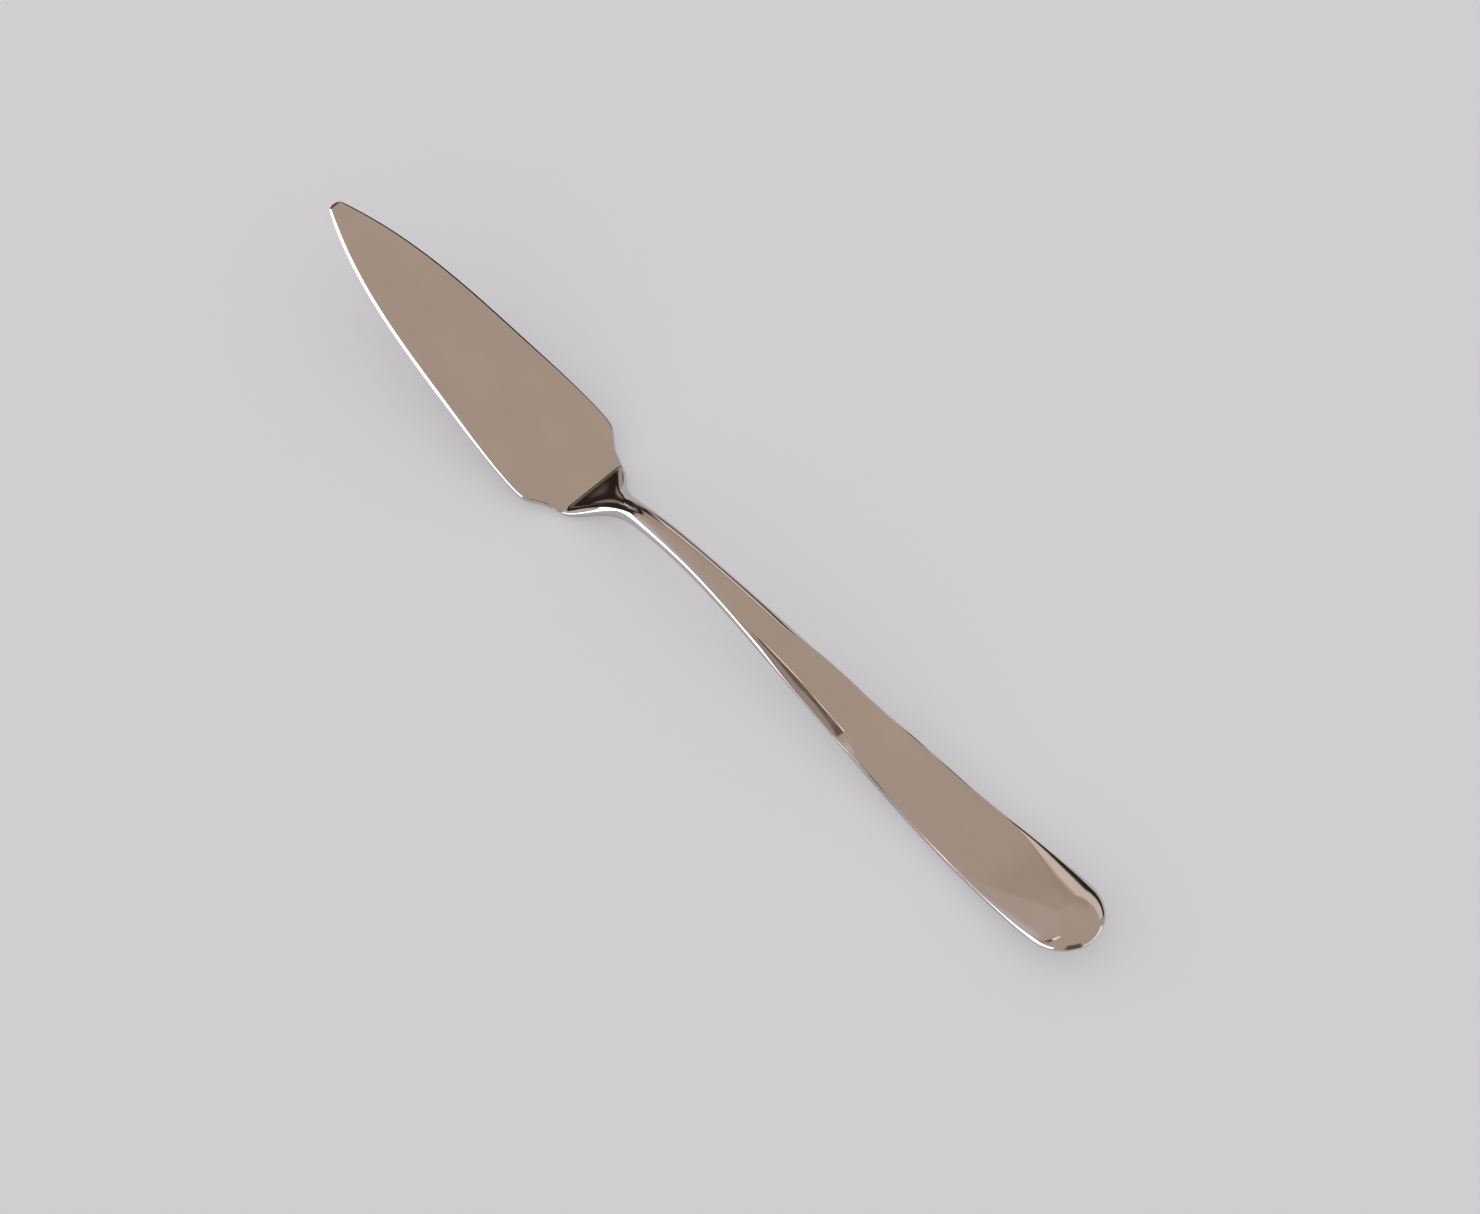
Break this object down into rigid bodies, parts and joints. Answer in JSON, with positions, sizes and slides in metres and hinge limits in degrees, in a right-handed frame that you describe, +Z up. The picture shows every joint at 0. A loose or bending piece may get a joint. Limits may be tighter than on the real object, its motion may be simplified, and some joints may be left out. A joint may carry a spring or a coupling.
{
  "type": "fish knife",
  "caption": "Polished steel fish knife with a flat spear-shaped blade, stepped heel, flared bolster and arched handle that widens to a round end, for parting and lifting fish at table.",
  "frame": {"origin": "on the table under the middle of the knife's length and width", "axes": "+X from the blade's tip to the end of the handle, +Z up from the table, +Y to the knife's left when looking along +X"},
  "size_m": [0.205, 0.0238, 0.0204],
  "materials": {
    "blade_steel": "mirror polished with fine use scratches",
    "bolster_steel": "mirror polished",
    "handle_steel": "mirror polished with fine use scratches",
    "solder": "polished flush with the steel",
    "cement": "matte, hidden inside the handle"
  },
  "bodies": {
    "root": {"blade": "blade_steel", "bolster": "bolster_steel", "blade_braze": "solder", "handle_upper_shell": "handle_steel", "handle_lower_shell": "handle_steel", "seam_solder": "solder", "handle_filler": "cement"}
  },
  "joints": []
}
